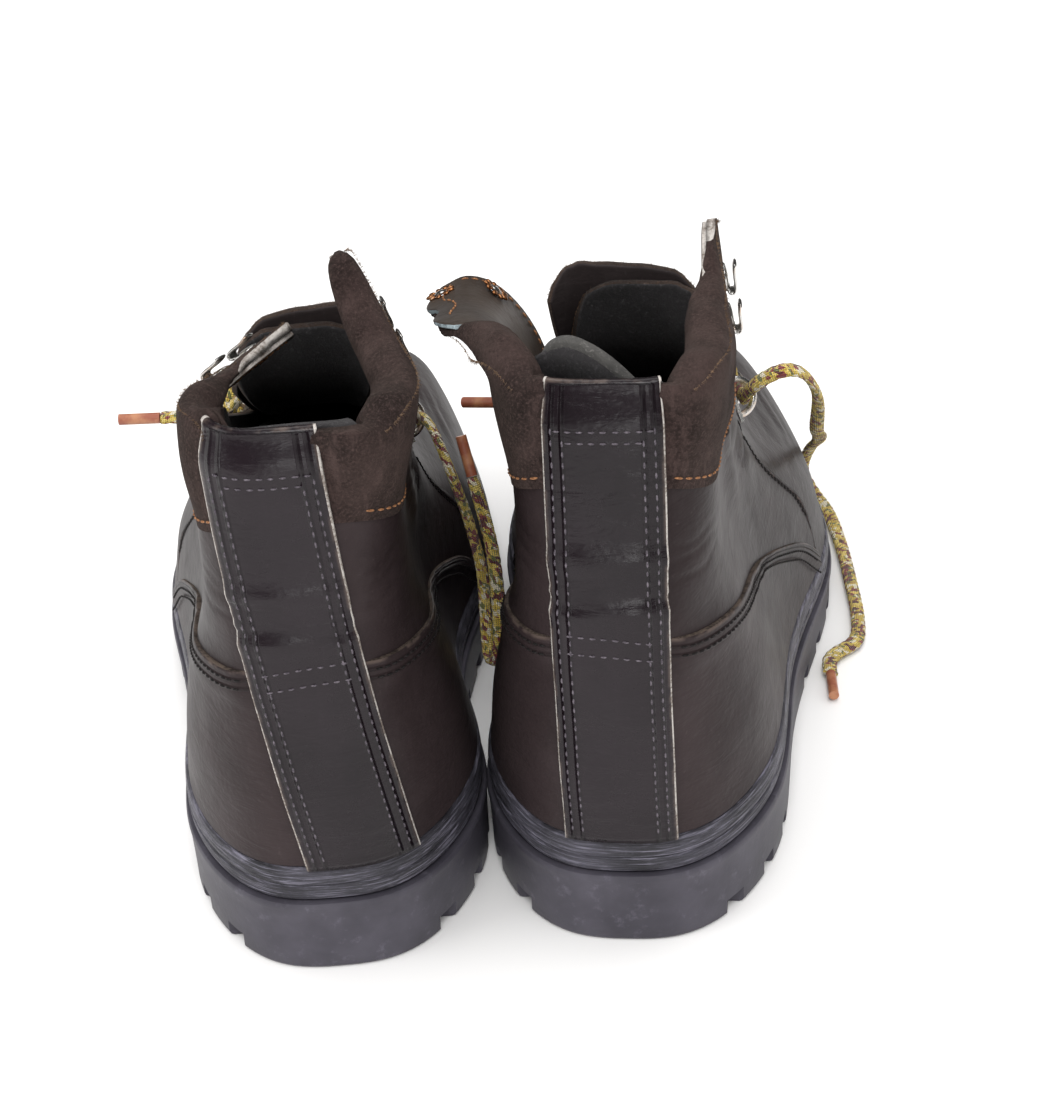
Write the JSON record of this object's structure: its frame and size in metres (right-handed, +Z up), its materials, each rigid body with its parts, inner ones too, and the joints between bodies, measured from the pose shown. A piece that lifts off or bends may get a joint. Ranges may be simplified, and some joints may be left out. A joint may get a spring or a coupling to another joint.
{
  "type": "hiking boots",
  "caption": "Pair of lace-up leather hiking boots with lugged rubber soles, padded suede collars, folding ears with lace hooks, and loosened laces.",
  "frame": {"origin": "on the ground, under the middle of the pair's bounding box", "axes": "+Z up, toes towards -Y, heels towards +Y, left boot on +X and right boot on -X"},
  "size_m": [0.225, 0.2999, 0.1767],
  "materials": {
    "sole_rubber": "matt moulded rubber",
    "midsole_rubber": "finely ribbed rubber",
    "fibre_board": "pressed fibre board",
    "shank_steel": "spring steel",
    "upper_leather": "worn dark brown grain leather, greyish sheen",
    "stiffener": "stiffened leather board",
    "backstay_leather": "smooth dark brown leather, creased",
    "collar_suede": "napped brown suede",
    "padding": "foam padding",
    "lining_fabric": "brushed dark lining",
    "tongue_leather": "soft dark leather",
    "hardware": "nickel plate",
    "lace_cord": "round woven cord, yellow, maroon and cream",
    "aglet_sleeve": "shrunk plastic sleeve",
    "footbed_felt": "felt",
    "ear_facing": "smooth brown leather"
  },
  "bodies": {
    "left_boot": {"left_outsole": "sole_rubber", "left_midsole": "midsole_rubber", "left_insole_board": "fibre_board", "left_shank": "shank_steel", "left_vamp": "upper_leather", "left_toe_puff": "stiffener", "left_quarter_outer": "upper_leather", "left_quarter_inner": "upper_leather", "left_heel_foxing": "upper_leather", "left_heel_counter": "stiffener", "left_backstay": "backstay_leather", "left_collar": "collar_suede", "left_collar_foam": "padding", "left_lining": "lining_fabric", "left_gusset": "tongue_leather", "left_loops_outer": "hardware", "left_loops_inner": "hardware", "left_lace": "lace_cord", "left_aglets": "aglet_sleeve"},
    "left_insert": {"left_footbed": "footbed_felt"},
    "left_tongue_flap": {"left_tongue": "tongue_leather", "left_tongue_lining": "lining_fabric"},
    "left_outer_ear": {"left_ear_outer": "collar_suede", "left_ear_facing_outer": "ear_facing", "left_hooks_outer": "hardware"},
    "left_inner_ear": {"left_ear_inner": "collar_suede", "left_ear_facing_inner": "ear_facing", "left_hooks_inner": "hardware"},
    "right_boot": {"right_outsole": "sole_rubber", "right_midsole": "midsole_rubber", "right_insole_board": "fibre_board", "right_shank": "shank_steel", "right_vamp": "upper_leather", "right_toe_puff": "stiffener", "right_quarter_outer": "upper_leather", "right_quarter_inner": "upper_leather", "right_heel_foxing": "upper_leather", "right_heel_counter": "stiffener", "right_backstay": "backstay_leather", "right_collar": "collar_suede", "right_collar_foam": "padding", "right_lining": "lining_fabric", "right_gusset": "tongue_leather", "right_loops_outer": "hardware", "right_loops_inner": "hardware", "right_lace": "lace_cord", "right_aglets": "aglet_sleeve"},
    "right_insert": {"right_footbed": "footbed_felt"},
    "right_tongue_flap": {"right_tongue": "tongue_leather", "right_tongue_lining": "lining_fabric"},
    "right_outer_ear": {"right_ear_outer": "collar_suede", "right_ear_facing_outer": "ear_facing", "right_hooks_outer": "hardware"},
    "right_inner_ear": {"right_ear_inner": "collar_suede", "right_ear_facing_inner": "ear_facing", "right_hooks_inner": "hardware"}
  },
  "joints": [
    {"name": "left_tongue_bend", "type": "hinge", "parent": "left_boot", "child": "left_tongue_flap", "pos_m": [0.05253, 0.0178, 0.12078], "axis": [0.9969, 0.0785, 0], "range_deg": [-1.5, 28]},
    {"name": "left_outer_ear_fold", "type": "hinge", "parent": "left_boot", "child": "left_outer_ear", "pos_m": [0.07562, 0.08146, 0.14027], "axis": [-0.1013, 0.8908, 0.443], "range_deg": [-5, 58]},
    {"name": "left_inner_ear_fold", "type": "hinge", "parent": "left_boot", "child": "left_inner_ear", "pos_m": [0.01762, 0.0769, 0.14027], "axis": [0.0912, -0.8918, -0.4431], "range_deg": [-12, 7]},
    {"name": "left_footbed_lift", "type": "hinge", "parent": "left_boot", "child": "left_insert", "pos_m": [0.06012, -0.11331, 0.03], "axis": [0.9969, 0.0785, 0], "range_deg": [0, 2.5]},
    {"name": "right_tongue_bend", "type": "hinge", "parent": "right_boot", "child": "right_tongue_flap", "pos_m": [-0.04451, 0.00909, 0.12173], "axis": [0.9962, -0.0872, 0], "range_deg": [-1.5, 28]},
    {"name": "right_outer_ear_fold", "type": "hinge", "parent": "right_boot", "child": "right_outer_ear", "pos_m": [-0.06825, 0.07143, 0.14203], "axis": [-0.0819, -0.8762, -0.4749], "range_deg": [-17, 20]},
    {"name": "right_inner_ear_fold", "type": "hinge", "parent": "right_boot", "child": "right_inner_ear", "pos_m": [-0.0103, 0.06636, 0.14203], "axis": [0.0715, 0.8771, 0.4749], "range_deg": [-38, 5]},
    {"name": "right_footbed_lift", "type": "hinge", "parent": "right_boot", "child": "right_insert", "pos_m": [-0.0518, -0.12015, 0.03], "axis": [0.9962, -0.0872, 0], "range_deg": [0, 2.5]},
    {"name": "right_boot_slide", "type": "slide", "parent": "left_boot", "child": "right_boot", "axis": [-1, 0, 0], "range_m": [0, 0.08]}
  ]
}
